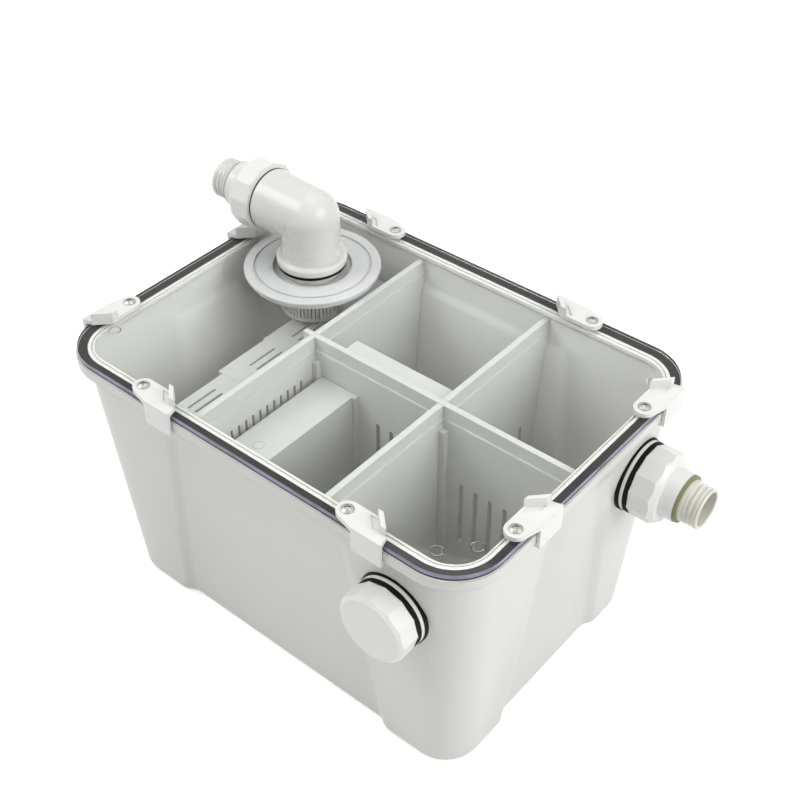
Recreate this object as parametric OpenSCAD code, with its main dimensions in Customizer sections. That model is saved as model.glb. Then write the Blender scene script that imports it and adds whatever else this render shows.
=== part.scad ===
// Plaster trap: a drafted plastic tub under a clear clamped lid, with an inlet elbow over a
// strainer, loose partitions and baffles that make the water rise and fall, an outlet union on
// the short side and a drain plug on the long side.
// The tub stands on z = 0, its long side runs along X, the outlet faces +X and the plug -Y.

/* [Lid] */
// Length of the clear lid
lid_length = 408; // [400:1:430]
// Width of the clear lid
lid_width = 300; // [294:1:330]
// Thickness of the clear lid
lid_thickness = 5; // [4.5:0.5:8]
// Corner radius of the clear lid
lid_corner = 42; // [38:1:48]

/* [Tub] */
// Height from the floor the tub stands on to the top of its rim
tub_height = 242.5; // [235:0.5:260]
// How far the foot's ends stand in from the lid's ends
foot_end_inset = 20.5; // [17:0.5:24]
// How far the foot's long sides stand in from the lid's
foot_side_inset = 23; // [19:0.5:25]
// How far the lid reaches past the end walls just under the rim
end_step = 6; // [4:0.5:8]
// How far the lid reaches past the long walls just under the rim
long_step = 7; // [6:0.5:8.5]
// Wall thickness
wall = 5; // [4:0.25:6]
// Floor thickness
floor_thickness = 5; // [4:0.5:8]
// Corner radius of the walls just under the rim
top_corner = 35; // [30:1:38]
// Corner radius of the walls at the foot
foot_corner = 32; // [28:1:36]
// Radius of the edge around the foot
foot_edge = 6; // [4:0.5:8]
// Height of the rim flange
rim_height = 8.5; // [7:0.5:10]
// How far the rim flange stands out past the lid
rim_overhang = 1.5; // [1:0.25:2]
// How far the inner lip of the rim stands in past the wall
lip = 2.5; // [2:0.25:3]
// Distance from the lid's edge in to the groove in the rim
rim_groove_inset = 10.4; // [9.5:0.1:10.6]
// Width of that groove
rim_groove_width = 1.5; // [1:0.1:1.6]
// Depth of that groove
rim_groove_depth = 1.5; // [1:0.25:2.5]

/* [Wall panels] */
// Gap between the underside of the rim and the top of the sunken panels
panel_drop = 19; // [16:1:22]
// Height over which a panel's top edge fades into the wall
panel_fade = 10; // [8:1:15]
// Width over which a panel's sides fade into the corner columns
panel_blend = 12; // [9:1:15]
// Depth of the panels at their top
panel_depth_top = 3.5; // [1:0.25:4]
// Depth of the panels at the foot
panel_depth_foot = 5.5; // [4:0.25:6]
// Half width of the long walls' panels at their top
long_panel_top = 94; // [90:1:98]
// Half width of the long walls' panels at the foot
long_panel_foot = 118; // [110:1:122]
// Half width of the end walls' panels at their top
end_panel_top = 42; // [38:1:45]
// Half width of the end walls' panels at the foot
end_panel_foot = 70; // [64:1:72]
// How far the feet of the end walls' panels stand off centre, towards the back
end_panel_drift = 4; // [0:0.5:6]

/* [Lid seal] */
// Width of the seal ring under the lid
seal_width = 7; // [6:0.25:7.5]
// Height of the seal ring
seal_height = 3.5; // [3:0.25:5]
// How far the seal ring stands up out of its groove
seal_standout = 0.5; // [0.25:0.25:1]
// Inset of the seal ring from the edge of the lid
seal_inset = 0.5; // [0.25:0.25:0.75]

/* [Clips] */
// Distance of the clip screws from the edge of the lid
screw_inset = 7.5; // [7:0.25:8]
// Distance along a long side to the screw nearer a corner
screw_long_outer = 108; // [104:1:112]
// Distance along a long side to the other screw
screw_long_inner = 97.5; // [94:0.5:102]
// Distance along an end to the screw nearer a corner
screw_end_outer = 84.5; // [82:0.5:88]
// Distance along an end to the other screw
screw_end_inner = 78; // [75:0.5:80]
// Thickness of a clip's plate
clip_plate = 3.7; // [3:0.1:5]
// Radius of a clip's round end
clip_end = 8.5; // [8:0.25:9]
// Length of a clip from its screw to its far corner at the rim
clip_reach = 39.5; // [37:0.5:42]
// How far the blunt nose of a clip runs in from that corner
clip_nose = 9; // [7:0.5:10]
// How far the nose draws back over that length
clip_nose_lean = 2.5; // [1:0.25:4]
// How far a clip's slanted end runs back from the nose
clip_slant = 12; // [9:0.5:15]
// Distance from a clip's screw to the near edge of its skirt
clip_skirt_start = 12.5; // [11.5:0.5:16]
// Thickness of a clip's skirt
clip_skirt = 2.5; // [2:0.25:3]
// How far a clip's hook reaches in under the rim
clip_hook = 2; // [1.5:0.25:2.5]
// Height of a clip's hook
clip_hook_height = 3.6; // [3:0.2:6]
// Height of the finger tab above the clip's plate
tab_height = 7; // [3:0.5:8]
// Width of the finger tab
tab_width = 5; // [4:0.5:6]
// Radius of a clip screw's head
screw_head = 4.8; // [4.4:0.1:6]
// Radius of a clip screw's shank
screw_shank = 2.5; // [2:0.1:3]
// How far a clip screw goes down into the lid
screw_bite = 4; // [3:0.25:4.25]
// Height of a clip screw's head
screw_head_height = 2.4; // [2:0.1:3]

/* [Partitions] */
// Depth of the partitions' top edges below the lid's underside
divider_drop = 7; // [5:0.5:10]
// Thickness of a partition along its top
divider_top = 5; // [4:0.25:6]
// How far the lower part of a partition stands proud on each side
divider_ledge = 1.5; // [0.75:0.25:1.75]
// Height of the thinner top band of a partition
divider_band = 12; // [10:1:18]
// Place of the left partition along X
divider_left_x = -63.5; // [-66:0.25:-61]
// Place of the right partition along X
divider_right_x = 68.4; // [65:0.2:71]
// Place of the long partition along Y
divider_long_y = -0.7; // [-2:0.1:2]
// Clearance between the partitions and what they fit into
divider_fit = 0.3; // [0.2:0.05:0.5]
// Width of the ribs beside the partitions' crossings
rib_width = 5; // [4:0.25:5.5]
// How far those ribs stand out
rib_out = 5; // [4:0.25:6]
// Depth of those ribs' tops below the lid's top
rib_drop = 33; // [28:1:38]
// Number of narrow slots in the left partition
comb_count = 11; // [5:1:12]
// Pitch of the narrow slots
comb_pitch = 7.9; // [6:0.1:8]
// Width of the narrow slots
comb_slot = 2.3; // [1.5:0.1:3]
// Distance from the middle of the tub to the first narrow slot
comb_start = 23.5; // [20:0.5:26]
// Depth of the narrow slots' tops below the lid's top
comb_drop = 44; // [40:1:48]
// Height of the narrow slots
comb_height = 54; // [40:1:60]
// Width of the wide slots
slot_width = 4; // [3:0.25:5]
// Height of the wide slots
slot_height = 64; // [50:1:70]
// Pitch of the wide slots
slot_pitch = 14; // [12:0.5:14.5]
// Number of wide slots in each group of the long partition
slot_count = 4; // [2:1:4]
// Place along X of the first slot between the two cross partitions
slot_middle_x = 6.3; // [3:0.1:8]
// Depth of those slots' tops below the lid's top
slot_middle_drop = 67; // [60:1:76]
// Place along X of the first slot right of the right partition
slot_right_x = 92.2; // [89:0.1:94]
// Depth of those slots' tops below the lid's top
slot_right_drop = 82; // [76:1:92]
// Place along Y of the first slot in the right partition
cross_slot_y = 76; // [72:0.5:79]
// Depth of those slots' tops below the lid's top
cross_slot_drop = 107; // [98:1:118]
// Number of slots in the right partition
cross_slot_count = 3; // [1:1:3]

/* [Baffles and shelves] */
// Plate thickness of the baffles and shelves
sheet = 3; // [2.5:0.25:3.5]
// Depth of the inlet baffle's top below the lid's top
inlet_baffle_drop = 48; // [46:1:52]
// Width of the inlet baffle
inlet_baffle_width = 36.5; // [33:0.5:37]
// Place of the inlet baffle's upright plate along X
inlet_baffle_x = -17; // [-19:0.5:-15]
// Height of the gap under the inlet baffle
inlet_baffle_gap = 45; // [30:1:60]
// Depth of the middle baffle's top below the lid's top
mid_baffle_drop = 19; // [16:1:22]
// Depth of the middle baffle from the long partition
mid_baffle_depth = 18.2; // [16:0.1:21]
// Left end of the middle baffle along X
mid_baffle_left = -37.5; // [-42:0.5:-34]
// Height of the gap under the middle baffle
mid_baffle_gap = 55; // [40:1:70]
// Depth of the shelves' tops below the lid's top
shelf_drop = 50; // [50:1:54]
// Reach of the front shelf from the left partition
shelf_front_reach = 53; // [48:1:57]
// Reach of the rear shelf from the left partition
shelf_rear_reach = 58; // [54:1:61]
// Place of the seam between the shelves along Y
shelf_seam = -53; // [-56:1:-50]
// Height of the gap under the shelves' skirts
shelf_gap = 50; // [40:1:60]
// Length of the shelves' slots
shelf_slot = 30; // [24:1:32]
// Width of the shelves' slots
shelf_slot_width = 2; // [1.5:0.25:3]
// Distance from the left partition to the nearer row of the shelves' slots
shelf_slot_reach = 35; // [30:1:38]
// Distance between the two rows
shelf_slot_pitch = 8; // [6:0.5:10]
// Place along Y of the slots in the front shelf
front_slot_y = -86; // [-88:1:-82]
// Place along Y of the front slots in the rear shelf
near_slot_y = -16; // [-20:1:-12]
// Place along Y of the back slots in the rear shelf
far_slot_y = 35; // [30:1:40]
// How much wider the rear shelf is behind its step
shelf_step = 1.5; // [0.5:0.1:4]

/* [Inlet] */
// Distance from the lid's left end to the middle of the inlet
inlet_from_end = 78.6; // [76:0.2:80]
// Distance from the lid's back edge to the middle of the inlet
inlet_from_back = 85.4; // [84:0.2:88]
// Radius of the elbow's upright tube
elbow_tube = 25; // [24:0.5:26]
// Radius of the elbow's limb at its mouth
elbow_mouth = 26.5; // [26:0.25:28]
// Wall of the elbow
elbow_wall = 3.5; // [3:0.25:4]
// Height of the limb's axis above the lid's top
limb_height = 45; // [44:0.5:50]
// Distance from the upright axis to the limb's mouth
limb_reach = 43.5; // [42:0.5:48]
// Radius of the elbow's collar over its gasket
elbow_collar = 30.2; // [29.5:0.1:31]
// Height of the elbow's collar
elbow_collar_height = 5.5; // [4:0.5:6.5]
// Thickness of the gasket under the collar
elbow_gasket_thickness = 4.5; // [3.5:0.25:5.5]
// Thickness of the seal ring at the limb's mouth
mouth_seal = 3; // [2:0.25:4]
// Radius of the elbow's threaded spigot through the lid
spigot_radius = 24; // [23:0.25:24.5]
// Radius of the lock nut under the lid, over its corners
lock_nut_radius = 31; // [30:0.25:32]
// Height of the lock nut
lock_nut_height = 8; // [6:0.5:9]

/* [Strainer] */
// Radius of the strainer's flange
flange_radius = 58.7; // [57:0.1:59]
// Thickness of the strainer's flange
flange_thickness = 2; // [1.5:0.25:3]
// Mean radius of the groove around the flange
groove_radius = 49.3; // [48:0.1:50]
// Width of that groove
groove_width = 2.6; // [2:0.1:3]
// Inner radius of the hub recess in the flange
hub_radius = 34; // [33.5:0.25:35]
// Depth of the hub recess
hub_depth = 5; // [4:0.25:6]
// Wall around and under the hub recess
hub_wall = 2.5; // [2:0.25:3]
// Outer radius of the basket's slotted cup
cup_radius = 29.3; // [28:0.1:30]
// Depth of the basket's bottom below the lid's top
cup_drop = 46; // [44:0.5:46]
// Wall of the basket
cup_wall = 1.8; // [1.5:0.1:2.2]
// Number of slots around the cup
cup_slots = 56; // [24:4:64]
// Width of the cup's slots
cup_slot = 0.8; // [0.6:0.1:1.4]

/* [Unions and plug] */
// Distance from the lid's back edge to the middle of the outlet
outlet_from_back = 64.8; // [64:0.2:68]
// Depth of the outlet's axis below the lid's top
outlet_drop = 70; // [68:0.5:74]
// Distance from the lid's right end to the middle of the plug
plug_from_end = 67.5; // [66:0.5:72]
// Depth of the plug's axis below the lid's top
plug_drop = 71; // [69:0.5:75]
// Radius of the threaded barrels through the wall
barrel_radius = 20; // [19:0.25:20.5]
// Wall of the threaded barrels
barrel_wall = 3.5; // [3:0.25:4]
// Radius of the barrels' flanges inside the tub
barrel_flange = 27; // [25:0.5:28]
// Thickness of those flanges
barrel_flange_thickness = 4; // [3:0.5:5]
// Thickness of the tub's flat seats for the fittings
seat_thickness = 7.5; // [7:0.25:8.5]
// Radius of the outlet's wall gasket
outlet_gasket_radius = 31; // [31:0.25:32]
// Radius of the plug's wall gasket
plug_gasket_radius = 30.5; // [30:0.25:31.5]
// Thickness of the wall gaskets
gasket_thickness = 3.4; // [2:0.2:4]
// Thickness of the plain washers
washer_thickness = 3; // [2.6:0.2:4]
// Thickness of the second seal rings
ring_thickness = 4; // [2:0.25:4.5]
// Radius of the union nuts over their corners
nut_radius = 30.5; // [30:0.25:31.5]
// Length of the twelve-sided part of a union nut
nut_length = 22; // [20:0.5:24]
// Radius of a union nut's plain collar
collar_radius = 20.8; // [20.6:0.1:22]
// Length of that collar
collar_length = 11.5; // [10:0.5:14]
// Thickness of the ring at the collar's end
end_ring = 2.5; // [1.5:0.25:3]
// Radius of a union's hose tail
tail_radius = 17.5; // [17:0.1:18]
// Length of the tail past the end ring
tail_length = 17; // [15:0.5:20]
// Wall of the tail
tail_wall = 3; // [2.5:0.25:3.5]
// Length of the plug's cap
cap_length = 18; // [16:0.5:22]
// Radius of the plug's cap over its corners
cap_radius = 29.5; // [29:0.25:30.5]
// Running clearance of threads and turning fits
turn_fit = 0.05; // [0.03:0.01:0.08]
// Gap between faces that turn on each other
face_gap = 0.1; // [0.05:0.05:0.2]

/* [Hidden] */
$fn = 96;

// Small amounts
seal_play = 0.3;
clip_play = 0.3;
clip_rim_gap = 0.5;
through = 1;
cove = 2.5;
cove_height = 4;
floor_fillet = 4;
lip_chamfer = 0.5;
lip_edge = 3.5;
level_step = 0.1;
corner_steps = 7;

// Details of the clips and their screws
tab_recess = 0.8;
tab_recess_reach = 2.4;
tab_recess_share = 0.7;
clip_shoulder = 14;
head_dome = 1.6;
recess_width = 1.2;
recess_depth = 1.4;

// Details of the partitions, baffles and shelves
end_play = 1;
guide = 2.6;
ledge_out = 3;
seam_space = [10, 30];
end_space = [2, 6];
leg = 14;

// Details of the strainer
ledge_skirt = 2.2;
ledge_skirt_drop = 4.5;
lug_angle = 20;
notch_angle = 28;
lug_reach = 2.5;
lug_height = 2;
lug_lap = 1;
rim_margin = 5;
basket_rim_thickness = 2.3;
neck_margin = 4;
neck_height = 15;
neck_taper = 5;
bottom_hole = 1.8;
bottom_rings = [[0, 1], [9, 6], [18, 12]];

// Details of the fittings
spigot_step = 1.5;
spigot_end = 1;
bore_end = 4;
tail_flange = 3;
neck_step = 0.3;
nut_phase = 15;
nut_roof = 6;
nut_chamfer = 5;
nut_taper = 4;
cap_roof = 5;
cap_chamfer = 3;
cap_taper = 3.5;
cap_end_gap = 1;
washer_margin = 0.8;
seal_margin = 0.2;

// Levels
rim_under = tub_height - rim_height;
lid_under = tub_height + seal_standout;
lid_top = lid_under + lid_thickness;
panel_top = rim_under - panel_drop;
panel_full = panel_top - panel_fade;
lip_start = tub_height - lip_edge;
lip_foot = lip_start - lip;
divider_height = lid_under - divider_drop;
ledge_level = divider_height - divider_band;
divider_middle = (floor_thickness + divider_height) / 2;
rib_height = lid_top - rib_drop;
shelf_top = lid_top - shelf_drop;
inlet_baffle_top = lid_top - inlet_baffle_drop;
mid_baffle_top = lid_top - mid_baffle_drop;
holder_top = lid_under - face_gap;

// Thicknesses that several pieces share
divider_low = divider_top + 2 * divider_ledge;
slot_fit = divider_low + 2 * divider_fit;

// Places of the fittings, and their seats on the walls
inlet_x = inlet_from_end - lid_length / 2;
inlet_y = lid_width / 2 - inlet_from_back;
outlet_y = lid_width / 2 - outlet_from_back;
plug_x = lid_length / 2 - plug_from_end;
stack = gasket_thickness + washer_thickness;
outlet_z = lid_top - outlet_drop;
plug_z = lid_top - plug_drop;
outlet_seat = half_x(outlet_z);
plug_seat = half_y(plug_z);
seat_rim = 0.5;

function smooth(t) = let (u = max(0, min(1, t))) u * u * (3 - 2 * u);
function between(a, b, t) = a + (b - a) * t;

// Outer half length and half width of the walls at height z
function half_x(z) = lid_length / 2 - between(foot_end_inset, end_step, z / rim_under);
function half_y(z) = lid_width / 2 - between(foot_side_inset, long_step, z / rim_under);
function corner_at(z) = between(foot_corner, top_corner, z / rim_under);

// Depth of the sunken panels and half width of each at height z
function panel_share(z) = max(0, (panel_top - z) / panel_top);
function panel_depth(z) =
    between(panel_depth_top, panel_depth_foot, panel_share(z)) * smooth((panel_top - z) / panel_fade);
function long_panel(z) = between(long_panel_top, long_panel_foot, panel_share(z));
function end_panel(z) = between(end_panel_top, end_panel_foot, panel_share(z));

// Stops across a panel, with the depth at each
function stops(half) =
    let (edge = [for (k = [0:3]) half - k * panel_blend / 3])
    concat([for (k = [0:3]) -edge[k]], [for (k = [3:-1:0]) edge[k]]);
function dip(s, half, z) = panel_depth(z) * smooth((half - abs(s)) / panel_blend);

// One quarter of a ring: a wall seen from outside, with its panel moved along by drift, then the
// corner after it
function quarter_ring(reach, side, half, r, z, turn, drift) =
    let (c = cos(turn), s = sin(turn))
    [for (p = concat(
        [for (t = stops(half)) [reach - dip(t, half, z), t + drift]],
        [for (k = [0:corner_steps]) let (a = 90 * k / corner_steps)
            [reach - r + r * cos(a), side - r + r * sin(a)]]))
        [p[0] * c - p[1] * s, p[0] * s + p[1] * c, z]];

// The whole wall outline at height z, moved in by inset
function wall_ring(z, inset) =
    let (x = half_x(z) - inset, y = half_y(z) - inset, r = corner_at(z) - inset,
        drift = end_panel_drift * panel_share(z))
    concat(
        quarter_ring(x, y, end_panel(z), r, z, 0, drift),
        quarter_ring(y, x, long_panel(z), r, z, 90, 0),
        quarter_ring(x, y, end_panel(z), r, z, 180, -drift),
        quarter_ring(y, x, long_panel(z), r, z, 270, 0));

// Heights at which the panels' top edges bend
function fade_levels() = [for (k = [0:3]) panel_full + panel_fade * k / 3];

// Half width left inside the walls for a loose panel, behind the sunken panels
function wall_at(z) = wall + lip * max(0, min(1, (z - lip_foot) / (lip_start - lip_foot)));
function room_y(z) = half_y(z) - panel_depth(z) - wall_at(z) - divider_fit;
function room_x(z) = half_x(z) - panel_depth(z) - wall_at(z) - divider_fit;
function room_levels(top) = concat(
    [for (z = concat([floor_thickness + floor_fillet], fade_levels(), [lip_foot, lip_start]))
        if (z < top - level_step) z],
    [top]);

// Closed skin through level rings that run counter-clockwise around the Z axis, the lowest first
module loft(rings) {
    n = len(rings[0]);
    top = len(rings) - 1;
    foot_point = (top + 1) * n;
    head_point = foot_point + 1;
    sides = [for (i = [0:top - 1], j = [0:n - 1])
        let (a = i * n + j, b = i * n + (j + 1) % n)
        each [[a, a + n, b + n], [a, b + n, b]]];
    foot = [for (j = [0:n - 1]) [foot_point, j, (j + 1) % n]];
    head = [for (j = [0:n - 1]) [head_point, top * n + (j + 1) % n, top * n + j]];
    polyhedron(
        points = concat([for (ring = rings) each ring], [[0, 0, rings[0][0].z], [0, 0, rings[top][0].z]]),
        faces = concat(sides, foot, head));
}

module rounded_slab(length, width, corner, height) {
    linear_extrude(height) {
        square([length - 2 * corner, width], center = true);
        square([length, width - 2 * corner], center = true);
        for (x = [-1, 1], y = [-1, 1])
            translate([x * (length / 2 - corner), y * (width / 2 - corner)]) circle(corner);
    }
}

// Slab with the lid's outline moved out by grow
module lid_slab(grow, height) {
    rounded_slab(lid_length + 2 * grow, lid_width + 2 * grow, lid_corner + grow, height);
}

module disc(radius, height) {
    cylinder(r = radius, h = height);
}

module washer(outer, inner, height) {
    difference() {
        disc(outer, height);
        translate([0, 0, -through]) disc(inner, height + 2 * through);
    }
}

// Puts a fitting drawn along +Z on its seat in the end wall or in the front wall
module at_outlet() {
    translate([outlet_seat, outlet_y, outlet_z]) rotate([0, 90, 0]) children();
}

module at_plug() {
    translate([plug_x, -plug_seat, plug_z]) rotate([90, 0, 0]) children();
}

module at_inlet() {
    translate([inlet_x, inlet_y, lid_top]) children();
}

// The limb's mouth, drawn along +Z and turned to point at -X
module at_mouth() {
    translate([inlet_x - limb_reach, inlet_y, lid_top + limb_height]) rotate([0, -90, 0]) children();
}

// Tub

module tub_outside() {
    foot = [for (a = [0:30:90]) wall_ring(foot_edge * (1 - cos(a)), foot_edge * (1 - sin(a)))];
    fade = [for (z = fade_levels()) wall_ring(z, 0)];
    head = [for (a = [0:30:90])
        wall_ring(rim_under - cove_height * cos(a), -cove * (1 - cos(a)))];
    loft(concat(foot, fade, head, [wall_ring(rim_under + through, -cove)]));
}

module tub_cavity() {
    low = [for (a = [0:30:90])
        wall_ring(floor_thickness + floor_fillet * (1 - cos(a)), wall + floor_fillet * (1 - sin(a)))];
    fade = [for (z = fade_levels()) wall_ring(z, wall)];
    high = [
        wall_ring(lip_foot, wall),
        wall_ring(lip_start, wall + lip),
        wall_ring(tub_height - lip_chamfer, wall + lip),
        wall_ring(tub_height, wall + lip - lip_chamfer),
        wall_ring(tub_height + through, wall + lip - lip_chamfer)];
    loft(concat(low, fade, high));
}

module seal_ring(play, height) {
    outer = -seal_inset + play;
    inner = -seal_inset - seal_width - play;
    difference() {
        lid_slab(outer, height);
        translate([0, 0, -through]) lid_slab(inner, height + 2 * through);
    }
}

// Narrow groove around the rim, inside the seal
module rim_groove() {
    difference() {
        lid_slab(-rim_groove_inset, rim_groove_depth + through);
        translate([0, 0, -through])
            lid_slab(-rim_groove_inset - rim_groove_width, rim_groove_depth + 3 * through);
    }
}

// Flat round seat for a fitting: a thick patch of wall, faced off outside
module seat_patch(gasket_radius) {
    translate([0, 0, -seat_thickness]) disc(gasket_radius + seat_rim, seat_thickness);
}

module seat_cut(gasket_radius) {
    disc(gasket_radius + seat_rim, stack);
    translate([0, 0, -seat_thickness - through])
        disc(barrel_radius + divider_fit, seat_thickness + 2 * through);
}

module tub() {
    color([0.80, 0.80, 0.78])
    difference() {
        union() {
            difference() {
                union() {
                    tub_outside();
                    translate([0, 0, rim_under]) lid_slab(rim_overhang, rim_height);
                }
                tub_cavity();
            }
            at_outlet() seat_patch(outlet_gasket_radius);
            at_plug() seat_patch(plug_gasket_radius);
        }
        translate([0, 0, lid_under - seal_height]) seal_ring(seal_play, seal_height);
        translate([0, 0, tub_height - rim_groove_depth]) rim_groove();
        at_outlet() seat_cut(outlet_gasket_radius);
        at_plug() seat_cut(plug_gasket_radius);
    }
}

module rim_gasket() {
    color([0.22, 0.22, 0.22])
    translate([0, 0, lid_under - seal_height]) seal_ring(0, seal_height);
}

// Lid and clips

// Places a clip or its screw: side turns it to a wall, along moves it along that wall
module at_clip(side, along) {
    edge = (side % 2 == 0 ? lid_width : lid_length) / 2 - screw_inset;
    rotate([0, 0, 90 * side]) translate([along, -edge, lid_top]) children();
}

module each_clip_place() {
    for (side = [0, 2]) {
        at_clip(side, -screw_long_outer) children();
        at_clip(side, screw_long_inner) children();
    }
    for (side = [1, 3]) {
        at_clip(side, -screw_end_outer) children();
        at_clip(side, screw_end_inner) children();
    }
}

module lid() {
    color([0.85, 0.87, 0.90, 0.35])
    difference() {
        translate([0, 0, lid_under]) lid_slab(0, lid_thickness);
        translate([inlet_x, inlet_y, lid_under - through])
            disc(spigot_radius + turn_fit, lid_thickness + 2 * through);
        each_clip_place() translate([0, 0, -screw_bite]) disc(screw_shank, screw_bite + through);
    }
}

// Outline of a clip seen from above, with the screw at the origin and the rim towards -Y
rim_gap = screw_inset + rim_overhang + clip_rim_gap;
clip_out = rim_gap + clip_skirt;
nose_foot = clip_out - clip_nose;
nose_reach = clip_reach - clip_nose_lean;

module clip_outline() {
    circle(clip_end);
    polygon([
        [0, clip_end],
        [nose_reach - clip_slant, clip_end],
        [nose_reach, -nose_foot],
        [clip_reach, -clip_out],
        [clip_skirt_start, -clip_out],
        [-clip_end * sin(clip_shoulder), -clip_end * cos(clip_shoulder)]]);
}

// Part of the clip's outline between two distances from its slanted end
module clip_end_strip(from, to) {
    difference() {
        translate([-from, 0]) clip_outline();
        translate([-to, 0]) clip_outline();
    }
}

// Skirt and hook: a strip of the plate's outline between two distances from the screw
module clip_strip(from, to) {
    intersection() {
        clip_outline();
        translate([clip_skirt_start, -to]) square([clip_reach, to - from]);
    }
}

module clip() {
    skirt_depth = lid_top - rim_under + clip_play + clip_hook_height;
    difference() {
        union() {
            translate([0, 0, clip_play]) linear_extrude(clip_plate) clip_outline();
            translate([0, 0, -skirt_depth])
                linear_extrude(skirt_depth + clip_play + clip_plate) clip_strip(rim_gap, clip_out);
            translate([0, 0, -skirt_depth])
                linear_extrude(clip_hook_height)
                clip_strip(rim_gap - clip_rim_gap - clip_hook, clip_out);
            translate([0, 0, clip_play]) linear_extrude(clip_plate + tab_height)
                intersection() {
                    clip_end_strip(0, tab_width);
                    translate([0, -nose_foot]) square([clip_reach, nose_foot + clip_end]);
                }
        }
        translate([0, 0, clip_play + clip_plate - tab_recess]) linear_extrude(through)
            intersection() {
                clip_end_strip(tab_width, tab_recess_reach * tab_width);
                translate([0, -nose_foot])
                    square([clip_reach, nose_foot + tab_recess_share * clip_end]);
            }
        translate([0, 0, -through]) disc(screw_shank + turn_fit, clip_plate + clip_play + 2 * through);
    }
}

module placed_clip(side, along) {
    color([0.94, 0.94, 0.92]) at_clip(side, along) clip();
}

module clip_front_left() { placed_clip(0, -screw_long_outer); }
module clip_front_right() { placed_clip(0, screw_long_inner); }
module clip_right_front() { placed_clip(1, -screw_end_outer); }
module clip_right_back() { placed_clip(1, screw_end_inner); }
module clip_back_right() { placed_clip(2, -screw_long_outer); }
module clip_back_left() { placed_clip(2, screw_long_inner); }
module clip_left_back() { placed_clip(3, -screw_end_outer); }
module clip_left_front() { placed_clip(3, screw_end_inner); }

// Pan head with a cross recess, and a shank down into the lid
module clip_screw() {
    head_low = clip_play + clip_plate + face_gap;
    dome = screw_head * head_dome;
    difference() {
        union() {
            translate([0, 0, -screw_bite]) disc(screw_shank, screw_bite + head_low);
            translate([0, 0, head_low]) intersection() {
                disc(screw_head, screw_head_height);
                translate([0, 0, screw_head_height - dome]) sphere(dome);
            }
        }
        for (a = [45, 135]) rotate([0, 0, a])
            translate([-screw_head / 2, -recess_width / 2, head_low + screw_head_height - recess_depth])
            cube([screw_head, recess_width, 2 * recess_depth]);
    }
}

module clip_screws() {
    color([0.78, 0.76, 0.70]) each_clip_place() clip_screw();
}

// Partitions

// Side view of a partition whose half width at height z is room[i] at levels[i]
module partition_outline(reach_low, reach_high, levels) {
    n = len(levels) - 1;
    polygon(concat(
        [[reach_low[0] + floor_fillet, floor_thickness], [reach_high[0] - floor_fillet, floor_thickness]],
        [for (k = [0:n]) [reach_high[k], levels[k]]],
        [for (k = [n:-1:0]) [reach_low[k], levels[k]]]));
}

// Thin top band over a thicker lower part, drawn as a sheet around y = 0
module partition_sheet(reach_low, reach_high, levels) {
    for (t = [[divider_top, divider_height], [divider_low, ledge_level]])
        translate([0, t[0] / 2, 0]) rotate([90, 0, 0]) linear_extrude(t[0])
        intersection() {
            partition_outline(reach_low, reach_high, levels);
            translate([-lid_length, 0]) square([2 * lid_length, t[1]]);
        }
}

module cross_partition() {
    levels = room_levels(divider_height);
    room = [for (z = levels) room_y(z)];
    rotate([0, 0, 90]) partition_sheet(-room, room, levels);
}

// Slot for the long partition, open at the top
module crossing_cut() {
    translate([-divider_low, divider_long_y - slot_fit / 2, divider_middle])
        cube([2 * divider_low, slot_fit, ledge_level - divider_middle]);
    translate([-divider_low, divider_long_y - divider_top / 2 - divider_fit, divider_middle])
        cube([2 * divider_low, divider_top + 2 * divider_fit, divider_height]);
}

// Upright slot with round ends through a sheet that lies around y = 0
module round_slot(width, bottom, top) {
    rotate([90, 0, 0]) linear_extrude(3 * divider_low, center = true) {
        translate([-width / 2, bottom + width / 2]) square([width, top - bottom - width]);
        translate([0, bottom + width / 2]) circle(width / 2);
        translate([0, top - width / 2]) circle(width / 2);
    }
}

module divider_left() {
    comb_top = lid_top - comb_drop;
    color([0.72, 0.73, 0.70])
    translate([divider_left_x, 0, 0]) difference() {
        union() {
            cross_partition();
            shelf_ledge();
        }
        crossing_cut();
        for (k = [0:comb_count - 1])
            translate([-divider_low, -comb_start - k * comb_pitch - comb_slot / 2, comb_top - comb_height])
            cube([2 * divider_low, comb_slot, comb_height]);
    }
}

// Ledge on the left partition that carries the shelves' inner edges
module shelf_ledge() {
    high = shelf_top - sheet;
    reach = room_y(high) - 2 * divider_fit;
    front_span = [-reach, shelf_seam + seam_space[0]];
    middle_span = [shelf_seam + seam_space[1], divider_long_y - end_space[0] * rib_out];
    back_span = [divider_long_y + end_space[1] * rib_out, reach];
    for (span = [front_span, middle_span, back_span])
        translate([-divider_low / 2 - ledge_out, span[0], high - ledge_out])
        cube([ledge_out + divider_low / 2, span[1] - span[0], ledge_out]);
}

module divider_right() {
    slot_top = lid_top - cross_slot_drop;
    color([0.74, 0.75, 0.72])
    translate([divider_right_x, 0, 0]) difference() {
        cross_partition();
        crossing_cut();
        for (k = [0:cross_slot_count - 1]) translate([0, cross_slot_y + k * slot_pitch, 0])
            rotate([0, 0, 90]) round_slot(slot_width, slot_top - slot_height, slot_top);
    }
}

// Upright rib on one face of the long partition, from x to x + width
module rib(x, width, face, out, top) {
    translate([x, face > 0 ? divider_low / 2 - through : -divider_low / 2 - out, floor_thickness])
        cube([width, out + through, top - floor_thickness]);
}

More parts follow.
